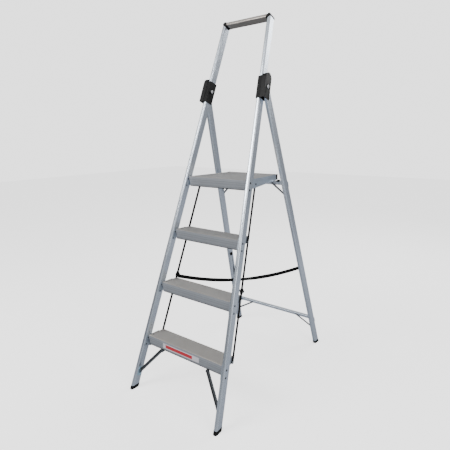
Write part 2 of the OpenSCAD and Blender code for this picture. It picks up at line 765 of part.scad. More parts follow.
tread_end(tread_tops[2], -1);  // upper_tread_left_end
tread_end(tread_tops[2], 1);  // upper_tread_right_end
tread_pins(tread_tops[2]);  // upper_tread_pins
tread_screws(tread_tops[2]);  // upper_tread_screws
tie_link(-1);  // left_tie_link
tie_link(1);  // right_tie_link
strap_loop(-1);  // left_strap_loop
strap_loop(1);  // right_strap_loop
leg(-1);  // left_rear_leg
leg(1);  // right_rear_leg
rear_foot(-1);  // left_rear_foot
rear_foot(1);  // right_rear_foot
crossbar(upper_v);  // upper_crossbar
crossbar(lower_v);  // lower_crossbar
crossbar_gussets();
platform_rests();
rear_brace(-1, upper_brace);  // left_upper_brace
rear_brace(1, upper_brace);  // right_upper_brace
rear_brace(-1, lower_brace);  // left_lower_brace
rear_brace(1, lower_brace);  // right_lower_brace
rear_rivets();
strap_anchors();
strap(1, strap_sag);  // falling_strap
strap(-1, strap_sag - 8);  // rising_strap
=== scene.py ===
"""Visual model of a folding platform step ladder, built round its CAD frame.

Sizes are in metres, in the frame's own axes: +Z up, +Y to the rear, the floor at 0.
"""
import math

import bmesh
import bpy
from mathutils import Matrix, Vector


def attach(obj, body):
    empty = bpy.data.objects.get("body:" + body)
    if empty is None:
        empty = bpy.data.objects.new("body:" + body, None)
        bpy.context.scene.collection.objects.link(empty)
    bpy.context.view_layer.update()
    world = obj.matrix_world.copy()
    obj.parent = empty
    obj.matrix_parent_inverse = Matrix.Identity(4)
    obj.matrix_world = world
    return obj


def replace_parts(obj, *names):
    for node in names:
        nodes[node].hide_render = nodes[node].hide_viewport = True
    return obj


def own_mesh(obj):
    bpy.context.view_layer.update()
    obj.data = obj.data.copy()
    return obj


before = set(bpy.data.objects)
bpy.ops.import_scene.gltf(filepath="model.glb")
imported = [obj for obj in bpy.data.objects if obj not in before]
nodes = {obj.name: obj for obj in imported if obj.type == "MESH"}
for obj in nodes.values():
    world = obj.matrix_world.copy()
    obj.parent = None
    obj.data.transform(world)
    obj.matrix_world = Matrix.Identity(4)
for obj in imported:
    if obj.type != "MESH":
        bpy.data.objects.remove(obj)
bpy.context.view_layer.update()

# ---------- the ladder's own measures, as in the CAD ----------
STILE_LEAN = math.radians(19.29)
LEG_LEAN = math.radians(17.24)
TAPER = 0.07277
TAPER_ANGLE = math.atan(TAPER)
STILE_HALF_BASE = 0.2929
TUBE_W = 0.020
STILE_D = 0.0445
LEG_D = 0.046
LEG_OUT = 0.022
HINGE_Z = 1.600
TREAD_TOPS = (0.2885, 0.5735, 0.8585)
PLATFORM_TOP = 1.1435
FASCIA_H = 0.053
NOSE_AHEAD = 0.0086
PIVOT_BACK = 0.001
PIVOT_DROP = 0.018
LINK_BACK = 0.0829
LINK_DROP = 0.012
LINK_IN = 0.0153
LINK_T = 0.003
PLATE_T = 0.002
END_IN = 0.0215
GUSSET_T = 0.003
CROSSBAR_D = 0.018
BAR_FRONT = LEG_D / 2 + 0.0032
PLATFORM_D = 0.3546
FLANGE_IN = 0.012
BOOT_WALL = 0.0016
BOOT_THIN_WALL = 0.0008
Y_SHIFT = 0.5284971


def up_stile(z):
    """Distance up a stile of a point at height z."""
    return z / math.cos(STILE_LEAN)


def stile_x(u):
    """Distance of a stile's centre line from the middle, u up the stile."""
    return STILE_HALF_BASE - TAPER * u


def pivot_u(z):
    """Distance up the stiles of the pivot of a tread whose top is at height z."""
    return up_stile(z) + PIVOT_BACK * math.sin(STILE_LEAN) - PIVOT_DROP * math.cos(STILE_LEAN)


HINGE_U = up_stile(HINGE_Z)
HINGE_Y = HINGE_U * math.sin(STILE_LEAN)
LEG_LENGTH = HINGE_Z / math.cos(LEG_LEAN)
# The tie links' lowest pivots, and the links' length from there to the platform's pivots
LINK_U0 = pivot_u(TREAD_TOPS[0]) + LINK_BACK * math.sin(STILE_LEAN) - LINK_DROP * math.cos(STILE_LEAN)
LINK_BEHIND = ((PIVOT_BACK + LINK_BACK) * math.cos(STILE_LEAN)
               + (PIVOT_DROP + LINK_DROP) * math.sin(STILE_LEAN))
LINK_X0 = stile_x(pivot_u(TREAD_TOPS[0])) - TAPER * LINK_BACK - LINK_IN
LINK_RUN = up_stile(PLATFORM_TOP - TREAD_TOPS[0])


def leg_x(v):
    """Distance of a rear leg's centre line from the middle, v down the leg from its hinge pin."""
    return stile_x(HINGE_U) + LEG_OUT + TAPER * v


# ---------- frames ----------
def move(x, y, z):
    return Matrix.Translation((x, y, z))


def turn(angle, axis):
    return Matrix.Rotation(angle, 4, axis)


STILE_PLANE = move(0, -Y_SHIFT, 0) @ turn(-STILE_LEAN, "X")
LEG_PLANE = move(0, HINGE_Y - Y_SHIFT, HINGE_Z) @ turn(LEG_LEAN, "X")


def stile_frame(side):
    return STILE_PLANE @ move(side * STILE_HALF_BASE, 0, 0) @ turn(-side * TAPER_ANGLE, "Y")


def leg_frame(side):
    return LEG_PLANE @ move(side * leg_x(0), 0, 0) @ turn(-side * TAPER_ANGLE, "Y")


def link_frame(side):
    return STILE_PLANE @ move(side * LINK_X0, LINK_BEHIND, LINK_U0) @ turn(-side * TAPER_ANGLE, "Y")


def tread_frame(z):
    """A tread's pivot, level with the world."""
    return move(0, z * math.tan(STILE_LEAN) + PIVOT_BACK - Y_SHIFT, z - PIVOT_DROP)


def facing_x(sign):
    """Turns local +Z to +X or -X."""
    return turn(sign * math.pi / 2, "Y")


# ---------- materials ----------
def new_material(name, colour, metallic=0.0, roughness=0.5, specular=0.5):
    mat = bpy.data.materials.new(name)
    mat.use_nodes = True
    shader = mat.node_tree.nodes["Principled BSDF"]
    shader.inputs["Base Color"].default_value = (*colour, 1)
    shader.inputs["Metallic"].default_value = metallic
    shader.inputs["Roughness"].default_value = roughness
    shader.inputs["Specular IOR Level"].default_value = specular
    return mat, mat.node_tree, shader


def node(tree, kind, **values):
    """A new shader node, with values for its inputs or its own settings."""
    made = tree.nodes.new(kind)
    for key, value in values.items():
        if key in made.inputs:
            made.inputs[key].default_value = value
        else:
            setattr(made, key, value)
    return made


def grain_coordinates(tree, direction, across, along):
    """Object coordinates turned so that Z follows direction, scaled across and along it."""
    texture = node(tree, "ShaderNodeTexCoord")
    mapping = node(tree, "ShaderNodeMapping")
    spin = Vector(direction).rotation_difference(Vector((0, 0, 1))).to_euler()
    mapping.inputs["Rotation"].default_value = spin
    mapping.inputs["Scale"].default_value = (across, across, along)
    tree.links.new(texture.outputs["Object"], mapping.inputs["Vector"])
    return mapping.outputs["Vector"]


def noise(tree, vector, detail):
    made = node(tree, "ShaderNodeTexNoise", Scale=1.0, Detail=detail)
    tree.links.new(vector, made.inputs["Vector"])
    return made.outputs["Fac"]


def to_range(tree, value, low, high, from_low=0.0, from_high=1.0):
    """Stretches the range from_low to from_high over low to high."""
    made = node(tree, "ShaderNodeMapRange")
    ends = {"From Min": from_low, "From Max": from_high, "To Min": low, "To Max": high}
    for socket, number in ends.items():
        made.inputs[socket].default_value = number
    tree.links.new(value, made.inputs["Value"])
    return made.outputs["Result"]


def shades(colour, darker, lighter):
    """A darker and a lighter shade of a colour."""
    return [c * darker for c in colour], [min(1, c * lighter) for c in colour]


def tinted(tree, value, dark, light):
    """A colour between dark and light, chosen by value."""
    mix = node(tree, "ShaderNodeMix", data_type="RGBA")
    mix.inputs[6].default_value = (*dark, 1)
    mix.inputs[7].default_value = (*light, 1)
    tree.links.new(value, mix.inputs[0])
    return mix.outputs[2]


def wave_scale(pitch):
    """Scale that sets a wave texture's bands pitch apart; at scale 1 they are pi / 10 apart."""
    return math.pi / 10 / pitch


def bumped(tree, shader, height, strength, distance, under=None):
    """Adds a bump to the shader, on top of the normal under, and returns the new normal."""
    made = node(tree, "ShaderNodeBump", Strength=strength, Distance=distance)
    tree.links.new(height, made.inputs["Height"])
    if under is not None:
        tree.links.new(under, made.inputs["Normal"])
    tree.links.new(made.outputs["Normal"], shader.inputs["Normal"])
    return made.outputs["Normal"]


# Scales of the drawn metal's fine and broad streaks, across and along it
FINE_STREAKS = (1400, 9)
BROAD_STREAKS = (26, 1.4)


def drawn_aluminium(name, colour, direction, roughness=0.34, groove_pitch=0.0, metallic=0.85):
    """Anodised tube or profile, drawn along direction, with faint grooves groove_pitch apart."""
    mat, tree, shader = new_material(name, colour, metallic, roughness)
    fine = noise(tree, grain_coordinates(tree, direction, *FINE_STREAKS), 2.0)
    broad = noise(tree, grain_coordinates(tree, direction, *BROAD_STREAKS), 4.0)
    shade = tinted(tree, broad, *shades(colour, 0.88, 1.10))
    tree.links.new(shade, shader.inputs["Base Color"])
    tree.links.new(to_range(tree, fine, roughness - 0.06, roughness + 0.12), shader.inputs["Roughness"])
    normal = bumped(tree, shader, fine, 0.10, 0.0002)
    if groove_pitch:
        wave = node(tree, "ShaderNodeTexWave", Scale=1.0, bands_direction="Y", Distortion=0.0)
        repeat = wave_scale(groove_pitch)
        tree.links.new(grain_coordinates(tree, direction, repeat, repeat), wave.inputs["Vector"])
        bumped(tree, shader, wave.outputs["Fac"], 0.16, 0.0004, normal)
    return mat


# Heights above a fascia's lower edge, as shares of the tread pitch, and the brightness of the band above
# each: painted groove shade below 1, painted highlight above 1
FASCIA_PAINTED_SHADING = ((0.0, 0.70), (0.012, 0.86), (0.045, 0.98), (0.090, 0.80),
                (0.096, 1.0), (0.135, 1.12), (0.150, 0.88), (0.156, 1.14))


def painted_groove_shading(tree, colour):
    """Paints groove shade and highlights onto a colour, in level bands that repeat from tread to tread."""
    texture = node(tree, "ShaderNodeTexCoord")
    parts = node(tree, "ShaderNodeSeparateXYZ")
    tree.links.new(texture.outputs["Object"], parts.inputs[0])
    above = node(tree, "ShaderNodeMath", operation="SUBTRACT")
    above.inputs[1].default_value = TREAD_TOPS[0] - FASCIA_H
    tree.links.new(parts.outputs["Z"], above.inputs[0])
    share = node(tree, "ShaderNodeMath", operation="DIVIDE")
    share.inputs[1].default_value = TREAD_TOPS[1] - TREAD_TOPS[0]
    tree.links.new(above.outputs[0], share.inputs[0])
    wrapped = node(tree, "ShaderNodeMath", operation="FRACT")
    tree.links.new(share.outputs[0], wrapped.inputs[0])
    ramp = node(tree, "ShaderNodeValToRGB")
    ramp.color_ramp.interpolation = "CONSTANT"
    stops = ramp.color_ramp.elements
    while len(stops) < len(FASCIA_PAINTED_SHADING):
        stops.new(0.5)
    for stop, (position, shade) in zip(stops, FASCIA_PAINTED_SHADING):
        stop.position = position
        stop.color = (shade, shade, shade, 1)
    tree.links.new(wrapped.outputs[0], ramp.inputs["Fac"])
    product = node(tree, "ShaderNodeMix", data_type="RGBA", blend_type="MULTIPLY")
    product.inputs[0].default_value = 1.0
    tree.links.new(colour, product.inputs[6])
    tree.links.new(ramp.outputs["Color"], product.inputs[7])
    return product.outputs[2]


def ribbed_metal(name, colour, front_colour):
    """Mill-finish extrusion of the treads: a worn, warm top and a cooler, smoother fascia with painted
    groove shade and highlights in level bands.
    """
    mat, tree, shader = new_material(name, colour, 0.55, 0.46)
    fine = noise(tree, grain_coordinates(tree, (1, 0, 0), 1500, 12), 2.0)
    cloudy = noise(tree, grain_coordinates(tree, (0, 0, 1), 22, 22), 5.0)
    top = tinted(tree, cloudy, *shades(colour, 0.84, 1.12))
    front = tinted(tree, fine, *shades(front_colour, 0.88, 1.10))
    shape = node(tree, "ShaderNodeNewGeometry")
    parts = node(tree, "ShaderNodeSeparateXYZ")
    tree.links.new(shape.outputs["Normal"], parts.inputs[0])
    blend = node(tree, "ShaderNodeMix", data_type="RGBA")
    tree.links.new(to_range(tree, parts.outputs["Z"], 0.0, 1.0), blend.inputs[0])
    # The fascia's colour takes painted groove shade and highlights, band by band
    tree.links.new(painted_groove_shading(tree, front), blend.inputs[6])
    tree.links.new(top, blend.inputs[7])
    tree.links.new(blend.outputs[2], shader.inputs["Base Color"])
    tree.links.new(to_range(tree, fine, 0.38, 0.56), shader.inputs["Roughness"])
    bumped(tree, shader, fine, 0.12, 0.0002)
    return mat


def coated(name, colour, roughness, metallic=0.0, grain=900, depth=0.12, specular=0.5):
    """Painted steel or moulded plastic with a fine skin texture."""
    mat, tree, shader = new_material(name, colour, metallic, roughness, specular)
    skin = noise(tree, grain_coordinates(tree, (0, 0, 1), grain, grain), 3.0)
    broad = noise(tree, grain_coordinates(tree, (0, 0, 1), 35, 35), 4.0)
    shade = tinted(tree, broad, [c * 0.75 for c in colour], [min(1, c * 1.3 + 0.004) for c in colour])
    tree.links.new(shade, shader.inputs["Base Color"])
    tree.links.new(to_range(tree, broad, roughness - 0.07, roughness + 0.08), shader.inputs["Roughness"])
    bumped(tree, shader, skin, depth, 0.0003)
    return mat


# Distances between the webbing's cross ribs and between its warp threads
WEFT_PITCH = 0.0016
WARP_PITCH = 0.0013


def woven(name, colour):
    """Polyester webbing: ribs across the band and warp threads along it, from the mesh's own UV."""
    mat, tree, shader = new_material(name, colour, 0.0, 0.82, 0.15)
    texture = node(tree, "ShaderNodeTexCoord")
    threads = []
    for direction, pitch in (("X", WEFT_PITCH), ("Y", WARP_PITCH)):
        wave = node(tree, "ShaderNodeTexWave", Scale=wave_scale(pitch), bands_direction=direction)
        tree.links.new(texture.outputs["UV"], wave.inputs["Vector"])
        threads.append(wave.outputs["Fac"])
    product = node(tree, "ShaderNodeMath", operation="MULTIPLY")
    for i, thread in enumerate(threads):
        tree.links.new(thread, product.inputs[i])
    shade = tinted(tree, product.outputs[0], *shades(colour, 0.5, 2.2))
    tree.links.new(shade, shader.inputs["Base Color"])
    bumped(tree, shader, product.outputs[0], 0.6, 0.0004)
    return mat


# The label's red band, between these places across and up
LABEL_BAND_X = (-0.126, 0.062)
LABEL_BAND_Z = (0.2530, 0.2715)


def label_film(name):
    """White film with one plain red band."""
    white, red = (0.80, 0.77, 0.82), (0.62, 0.035, 0.05)
    mat, tree, shader = new_material(name, white, 0.0, 0.32)
    texture = node(tree, "ShaderNodeTexCoord")
    parts = node(tree, "ShaderNodeSeparateXYZ")
    tree.links.new(texture.outputs["Object"], parts.inputs[0])
    inside = None
    for output, (low, high) in (("X", LABEL_BAND_X), ("Z", LABEL_BAND_Z)):
        near = node(tree, "ShaderNodeMath", operation="COMPARE")
        near.inputs[1].default_value = (low + high) / 2
        near.inputs[2].default_value = (high - low) / 2
        tree.links.new(parts.outputs[output], near.inputs[0])
        if inside is None:
            inside = near.outputs[0]
        else:
            both = node(tree, "ShaderNodeMath", operation="MULTIPLY")
            tree.links.new(inside, both.inputs[0])
            tree.links.new(near.outputs[0], both.inputs[1])
            inside = both.outputs[0]
    tree.links.new(tinted(tree, inside, white, red), shader.inputs["Base Color"])
    dust = noise(tree, grain_coordinates(tree, (0, 0, 1), 60, 60), 4.0)
    tree.links.new(to_range(tree, dust, 0.26, 0.42), shader.inputs["Roughness"])
    return mat


def direction_of(matrix):
    """The way a frame's local Z points."""
    return (matrix.to_3x3() @ Vector((0, 0, 1))).normalized()


TUBE_COLOUR = (0.75, 0.82, 0.91)
# Drawn metal: colour, direction, roughness, groove pitch, metallic share.
# Coated parts: colour, roughness, metallic share, grain, depth of grain, specular share.
MATERIALS = {
    "tread": ribbed_metal("tread_metal", (0.47, 0.44, 0.40), (0.42, 0.44, 0.47)),
    "fascia": drawn_aluminium("fascia_metal", (0.26, 0.28, 0.31), (1, 0, 0), 0.42, metallic=0.6),
    "flange": drawn_aluminium("flange_metal", (0.55, 0.62, 0.71), (0, 1, 0), 0.38, 0.006),
    "crossbar": drawn_aluminium("crossbar_metal", TUBE_COLOUR, (1, 0, 0), 0.34),
    "handrail": drawn_aluminium("handrail_metal", (0.40, 0.37, 0.34), (1, 0, 0), 0.36, 0.0045),
    "bracket": coated("bracket_metal", (0.50, 0.56, 0.63), 0.38, 0.8, 1200, 0.08),
    "plate": coated("plate_metal", (0.48, 0.66, 0.80), 0.34, 0.7, 1200, 0.08),
    "zinc": coated("zinc_steel", (0.62, 0.63, 0.65), 0.28, 0.95, 1500, 0.05),
    "dark_steel": coated("dark_steel", (0.115, 0.125, 0.135), 0.45, 0.5, 1100, 0.10),
    "grey_steel": coated("grey_steel", (0.21, 0.22, 0.235), 0.42, 0.5, 1100, 0.10),
    "rivet": coated("rivet_steel", (0.012, 0.013, 0.015), 0.50, 0.0, 1100, 0.10, 0.3),
    "paint": coated("black_paint", (0.003, 0.003, 0.003), 0.62, 0.0, 700, 0.18, 0.12),
    "plastic": coated("black_plastic", (0.003, 0.003, 0.0034), 0.46, 0.0, 1100, 0.20, 0.22),
    "rubber": coated("black_rubber", (0.004, 0.004, 0.004), 0.62, 0.0, 800, 0.30, 0.2),
    "webbing": woven("webbing", (0.003, 0.003, 0.0033)),
    "label": label_film("label_film"),
}
for side_name, sign in (("left", -1), ("right", 1)):
    MATERIALS[side_name + "_stile"] = drawn_aluminium(
        side_name + "_stile_metal", TUBE_COLOUR, direction_of(stile_frame(sign)), 0.26, 0.009, 0.95)
    MATERIALS[side_name + "_leg"] = drawn_aluminium(
        side_name + "_leg_metal", TUBE_COLOUR, direction_of(leg_frame(sign)), 0.26, 0.009, 0.95)

# CAD nodes that stay visible, by the material each one gets
NODE_MATERIALS = {
    "left_stile": ["left_stile"], "right_stile": ["right_stile"],
    "left_leg": ["left_rear_leg"], "right_leg": ["right_rear_leg"],
    "tread": ["lower_tread", "middle_tread", "upper_tread", "platform_deck"],
    "flange": ["left_platform_flange", "right_platform_flange"],
    "crossbar": ["upper_crossbar", "lower_crossbar"],
    "handrail": ["handrail_bar"],
    "bracket": ["left_tread_brackets", "right_tread_brackets", "crossbar_gussets"]
    + [f"{k}_tread_{s}_end" for k in ("lower", "middle", "upper") for s in ("left", "right")],
    "plate": ["front_brace_plates"],
    "rivet": ["platform_pins"],
    "zinc": ["brace_cross_rod"] + [f"{k}_tread_pins" for k in ("lower", "middle", "upper")],
    "dark_steel": ["left_front_brace", "right_front_brace"],
    "grey_steel": ["left_upper_brace", "right_upper_brace", "left_lower_brace", "right_lower_brace"],
    "paint": ["left_tie_link", "right_tie_link"],
    "plastic": ["left_corner_elbow", "right_corner_elbow", "left_hinge_bracket", "right_hinge_bracket",
                "platform_rests", "platform_rear_edge", "strap_anchors"],
    "rubber": ["left_front_foot", "right_front_foot", "left_rear_foot", "right_rear_foot"],
    "label": ["lower_tread_label"],
}
# Edge rounding in metres, by the end of a CAD node's name
SOFT_EDGES = {
    "hinge_bracket": 0.0012, "corner_elbow": 0.0008, "tie_link": 0.0005, "platform_rear_edge": 0.0006,
    "platform_rests": 0.0012, "_foot": 0.0009, "upper_brace": 0.0006, "lower_brace": 0.0006,
    "front_brace": 0.0004, "tread_brackets": 0.0004, "crossbar_gussets": 0.0005,
}


def paint(obj, material):
    obj.data.materials.clear()
    obj.data.materials.append(MATERIALS[material])


def soften(obj, width):
    bevel = obj.modifiers.new("soft_edges", "BEVEL")
    bevel.width = width
    bevel.segments = 2
    bevel.limit_method = "ANGLE"
    bevel.angle_limit = math.radians(40)
    bevel.harden_normals = False


for material_name, node_names in NODE_MATERIALS.items():
    for node_name in node_names:
        paint(nodes[node_name], material_name)
        for ending, width in SOFT_EDGES.items():
            if node_name.endswith(ending):
                soften(nodes[node_name], width)


# ---------- mesh making ----------
def piece(name, mesh_builder, body, material):
    """A new object on a body, from a function that fills a bmesh."""
    bm = bmesh.new()
    mesh_builder(bm)
    bmesh.ops.recalc_face_normals(bm, faces=bm.faces)
    mesh = bpy.data.meshes.new(name)
    bm.to_mesh(mesh)
    bm.free()
    obj = bpy.data.objects.new(name, mesh)
    bpy.context.scene.collection.objects.link(obj)
    paint(obj, material)
    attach(obj, body)
    return obj


def smooth(obj, angle=35):
    """Smooth shading, sharp where faces meet at more than angle degrees."""
    for polygon in obj.data.polygons:
        polygon.use_smooth = True
    obj.data.set_sharp_from_angle(angle=math.radians(angle))
    return obj


def add_lathe(bm, profile, matrix, sides=28):
    """Turns (radius, height) points round local Z; both ends lie on the axis or are capped."""
    rings = []
    for radius, height in profile:
        if radius < 1e-7:
            rings.append([bm.verts.new(matrix @ Vector((0, 0, height)))])
        else:
            rings.append([
                bm.verts.new(matrix @ Vector((radius * math.cos(a), radius * math.sin(a), height)))
                for a in (2 * math.pi * k / sides for k in range(sides))
            ])
    for low, high in zip(rings, rings[1:]):
        for k in range(sides):
            corners = [low[k % len(low)], low[(k + 1) % len(low)],
                       high[(k + 1) % len(high)], high[k % len(high)]]
            unique = list(dict.fromkeys(corners))
            if len(unique) > 2:
                bm.faces.new(unique)
    for ring in (rings[0], rings[-1]):
        if len(ring) > 1:
            bm.faces.new(ring)


def add_loft(bm, loops):
    """Joins closed loops of points, one after another, and caps the first and last."""
    rings = [[bm.verts.new(p) for p in loop] for loop in loops]
    count = len(rings[0])
    for low, high in zip(rings, rings[1:]):
        for k in range(count):
            bm.faces.new([low[k], low[(k + 1) % count], high[(k + 1) % count], high[k]])
    bm.faces.new(rings[0])
    bm.faces.new(rings[-1])


def add_block(bm, matrix, low, high, rounding):
    """A box with all its edges rounded, between two corners in matrix's frame."""
    made = bmesh.ops.create_cube(bm, size=1.0)["verts"]
    centre = (Vector(low) + Vector(high)) / 2
    size = Vector(high) - Vector(low)
    for vert in made:
        vert.co = Vector([centre[i] + vert.co[i] * size[i] for i in range(3)])
    edges = list({edge for vert in made for edge in vert.link_edges})
    rounded = bmesh.ops.bevel(bm, geom=edges, offset=rounding, segments=3, profile=0.5, affect="EDGES")
    touched = {vert for face in rounded["faces"] for vert in face.verts} | {v for v in made if v.is_valid}
    for vert in touched:
        vert.co = matrix @ vert.co


def rounded_outline(width, depth, radius, steps=6):
    """Points of a rounded rectangle about the origin."""
    points = []
    for cx, cy, start in ((1, 1, 0), (-1, 1, 90), (-1, -1, 180), (1, -1, 270)):
        for k in range(steps + 1):
            angle = math.radians(start + 90 * k / steps)
            points.append((cx * (width / 2 - radius) + radius * math.cos(angle),
                           cy * (depth / 2 - radius) + radius * math.sin(angle)))
    return points


def dome(radius, height, stem=0.001):
    """Profile of a rivet head that stands on a face at height 0."""
    steps = 6
    arc = [(radius * math.cos(math.pi / 2 * k / steps), height * math.sin(math.pi / 2 * k / steps))
           for k in range(steps)]
    return [(radius, -stem)] + arc + [(0, height)]


def socket_head(radius, height, socket):
    """Profile of a screw head with a round recess in the middle."""
    return [(radius, -0.0008), (radius, height * 0.45), (radius * 0.86, height * 0.9),
            (radius * 0.6, height), (socket, height), (socket * 0.85, height * 0.1), (0, height * 0.1)]


# ---------- rivets, screws and pins ----------
# The rivets' places ahead of a stile's middle and below each tread's top
RIVET_AHEAD = 0.0047
RIVET_DROPS = (0.016, 0.050)
ALL_TOPS = (*TREAD_TOPS, PLATFORM_TOP)


def build_stile_rivets(bm):
    for side in (-1, 1):
        for z in ALL_TOPS:
            for drop in RIVET_DROPS:
                u = up_stile(z - drop) / math.cos(TAPER_ANGLE)
                place = stile_frame(side) @ move(0, -RIVET_AHEAD, u)
                outer_face = move(side * TUBE_W / 2, 0, 0) @ facing_x(side)
                add_lathe(bm, dome(0.0052, 0.0016), place @ outer_face)
                inner = TUBE_W / 2 + (PLATE_T if z != PLATFORM_TOP else 0)
                add_lathe(bm, dome(0.0040, 0.0011), place @ move(-side * inner, 0, 0) @ facing_x(-side))


# Distances down the rear legs of the two crossbars and of their braces' lower ends
CROSSBAR_DOWN = (0.5407, 1.504)
BRACE_DOWN = (0.632, 1.590)
GUSSET_BACK = LEG_D / 2 + GUSSET_T + 0.00005
BAR_BACK = BAR_FRONT + CROSSBAR_D


def rear_facing(side, v, inboard, depth):
    """A place on the rear legs' plane, v down and inboard of a leg, with +Z to the rear."""
    return LEG_PLANE @ move(side * (leg_x(v) - inboard), depth, -v) @ turn(-math.pi / 2, "X")


def build_rear_rivets(bm):
    for side in (-1, 1):
        for v in CROSSBAR_DOWN:
            add_lathe(bm, dome(0.0045, 0.0022), rear_facing(side, v, 0.0, GUSSET_BACK))
            add_lathe(bm, dome(0.0045, 0.0022), rear_facing(side, v, 0.022, BAR_BACK))
        for v in BRACE_DOWN:
            add_lathe(bm, dome(0.0042, 0.0018), rear_facing(side, v, 0.002, GUSSET_BACK))


# How far behind the tread pivots the screws stand, and their distances inboard of the ends
FRONT_SCREW = 0.014
REAR_SCREW = PLATFORM_D - 0.040
TREAD_SCREW_IN = 0.0074
PLATFORM_SCREW_IN = 0.0014


def screw_places(z, platform):
    half = stile_x(pivot_u(z)) - END_IN
    if platform:
        return [(half - TAPER * y - PLATFORM_SCREW_IN, y) for y in (FRONT_SCREW, REAR_SCREW)]
    return [(half - TREAD_SCREW_IN, FRONT_SCREW)]


def screws_builder(z, platform=False):
    def build(bm):
        for x, y in screw_places(z, platform):
            for side in (-1, 1):
                place = tread_frame(z) @ move(side * x, y, PIVOT_DROP - 0.0004)
                add_lathe(bm, socket_head(0.0044, 0.0014, 0.0022), place)
    return build


# Distances from a stile's centre line out to the hinge pin's outer head, and in to its inner head
PIN_HEAD_OUT = 0.0380
PIN_HEAD_IN = 0.0154
PIN_HEAD = [(0.009, -0.0004), (0.009, 0.0012), (0.0076, 0.0024),
            (0.0034, 0.0026), (0.003, 0.0012), (0, 0.0012)]


def build_hinge_pins(bm):
    for side in (-1, 1):
        place = STILE_PLANE @ move(side * stile_x(HINGE_U), 0, HINGE_U)
        shank = [(0.005, -PIN_HEAD_IN - 0.0001), (0.005, PIN_HEAD_OUT + 0.001)]
        add_lathe(bm, shank, place @ facing_x(side), 24)
        add_lathe(bm, PIN_HEAD, place @ move(side * PIN_HEAD_OUT, 0, 0) @ facing_x(side))
        add_lathe(bm, PIN_HEAD, place @ move(-side * PIN_HEAD_IN, 0, 0) @ facing_x(-side))


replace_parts(smooth(piece("stile_rivet_heads", build_stile_rivets, "front_frame", "rivet")),
            "stile_rivets")
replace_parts(smooth(piece("rear_rivet_heads", build_rear_rivets, "rear_frame", "zinc")),
            "rear_rivets")
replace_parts(smooth(piece("hinge_pin_set", build_hinge_pins, "front_frame", "zinc")),
            "hinge_pins")
for step, top in zip(("lower", "middle", "upper"), TREAD_TOPS):
    heads = piece(step + "_screw_heads", screws_builder(top), step + "_step", "rivet")
    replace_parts(smooth(heads), step + "_tread_screws")
heads = piece("platform_screw_heads", screws_builder(PLATFORM_TOP, True), "platform", "rivet")
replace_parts(smooth(heads), "platform_screws")

# ---------- hinge brackets: ribs down the sleeve's front and the housing's side ----------
RIB_H = 0.0009
RIB_W = 0.0017
BRACKET_WALL = 0.003
SLEEVE_FRONT = STILE_D / 2 + BRACKET_WALL
HOUSING_OUT = LEG_OUT + TUBE_W / 2 + 0.0016 + BRACKET_WALL
FRONT_RIB_FROM = -0.0108
FRONT_RIB_PITCH = 0.0047
FRONT_RIB_Z = (-0.058, 0.046)
SIDE_RIB_DEPTHS = (-0.019, -0.0125, 0.0125, 0.019)
SIDE_RIB_Z = (-0.060, -0.016)
# Profile of the raised boss round the hinge pin
BOSS = [(0.0135, -0.001), (0.0135, 0.0005), (0.0126, 0.0011), (0.0108, 0.0011), (0.0102, -0.001)]


def build_bracket_ribs(side):
    """Five ribs down the sleeve, four down the housing, and a boss round the hinge pin."""
    def build(bm):
        place = stile_frame(side) @ move(0, 0, HINGE_U / math.cos(TAPER_ANGLE))
        for k in range(5):
            x = side * (FRONT_RIB_FROM + k * FRONT_RIB_PITCH)
            add_block(bm, place, (x - RIB_W / 2, -SLEEVE_FRONT - RIB_H, FRONT_RIB_Z[0]),
                      (x + RIB_W / 2, -SLEEVE_FRONT + RIB_H, FRONT_RIB_Z[1]), 0.0006)
        for depth in SIDE_RIB_DEPTHS:
            low, high = sorted((side * (HOUSING_OUT - RIB_H), side * (HOUSING_OUT + RIB_H * 0.7)))
            add_block(bm, place, (low, depth - RIB_W / 2, SIDE_RIB_Z[0]),
                      (high, depth + RIB_W / 2, SIDE_RIB_Z[1]), 0.0006)
        add_lathe(bm, BOSS, place @ move(side * HOUSING_OUT, 0, 0) @ facing_x(side), 40)
    return build


for side_name, sign in (("left", -1), ("right", 1)):
    piece(side_name + "_bracket_ribs", build_bracket_ribs(sign), "front_frame", "plastic")

# ---------- boots: raised rings round each foot ----------
RING_HEIGHTS = (0.0045, 0.0085)
RING_PROUD = 0.00049
RING_SUNK = -0.0006
# A ring's cross-section: how proud of the wall it is, at heights above and below its middle
RING_SECTION = ((RING_SUNK, -0.0011), (0, -0.0011), (RING_PROUD, -0.0006),
                (RING_PROUD, 0.0006), (0, 0.0011), (RING_SUNK, 0.0011))
BOOT_CORNER = 0.0085
# How much narrower the sunk edges are across the boot, besides being sunk
SUNK_IN = 0.0012


def boot_ring(matrix, shift, width, depth, proud, height):
    """The boot's outline, proud of its wall, in a level plane at this height."""
    run = matrix.to_3x3() @ Vector((0, 0, 1))
    points = []
    for x, y in rounded_outline(width + 2 * proud, depth + 2 * proud, BOOT_CORNER + proud):
        low = matrix @ Vector((x + shift, y, 0))
        points.append(low + run * ((height - low.z) / run.z))
    return points


def build_boot_rings(matrix, thin_side, depth):
    """Rings round the boot of a tube of this depth, its wall thin on thin_side."""
    width = TUBE_W + BOOT_WALL + BOOT_THIN_WALL
    shift = -thin_side * (BOOT_WALL - BOOT_THIN_WALL) / 2

    def build(bm):
        for height in RING_HEIGHTS:
            loops = []
            for proud, above in RING_SECTION:
                across = width - SUNK_IN if proud < 0 else width
                loops.append(boot_ring(matrix, shift, across, depth + 2 * BOOT_WALL, proud, height + above))
            add_loft(bm, loops)
    return build


for side_name, sign in (("left", -1), ("right", 1)):
    smooth(piece(side_name + "_front_foot_rings", build_boot_rings(stile_frame(sign), sign, STILE_D),
                 "front_frame", "rubber"))
    rear_place = leg_frame(sign) @ move(0, 0, -LEG_LENGTH)
    smooth(piece(side_name + "_rear_foot_rings", build_boot_rings(rear_place, -sign, LEG_D),
                 "rear_frame", "rubber"))

